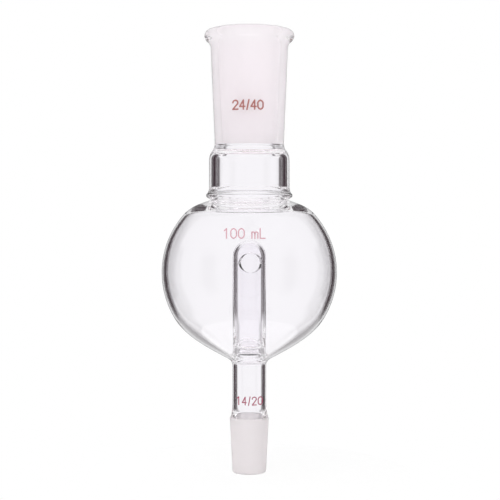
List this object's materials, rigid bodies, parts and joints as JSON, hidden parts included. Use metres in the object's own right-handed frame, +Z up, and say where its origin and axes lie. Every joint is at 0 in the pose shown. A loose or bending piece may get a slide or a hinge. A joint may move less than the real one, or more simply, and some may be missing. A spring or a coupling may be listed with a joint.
{
  "type": "rotary evaporator bump trap",
  "caption": "Round glass splash trap with a tapered ground socket above, a ground cone below and a closed-top vapour tube with a side hole inside.",
  "frame": {"origin": "centre of the flat end of the lower ground cone, the lowest point of the glass", "axes": "+Z up the axis of the glass, from the cone to the mouth of the socket; -Y is the side that the vapour tube's hole and the size marks face; +X is to the right seen from there"},
  "size_m": [0.0652, 0.0652, 0.1647],
  "materials": {
    "clear_glass": "clear flame-polished borosilicate",
    "ground_socket_glass": "borosilicate with a fine-ground bore, clear outside",
    "ground_cone_glass": "borosilicate with a fine-ground outside",
    "fired_enamel": "red-brown ceramic enamel fired onto the glass"
  },
  "bodies": {
    "root": {"socket_joint": "ground_socket_glass", "neck_tube": "clear_glass", "bulb_crown": "clear_glass", "bulb_bowl": "clear_glass", "vapour_tube": "clear_glass", "stem_tube": "clear_glass", "cone_joint": "ground_cone_glass", "socket_size_mark": "fired_enamel", "bulb_volume_mark": "fired_enamel", "cone_size_mark": "fired_enamel"}
  },
  "joints": []
}
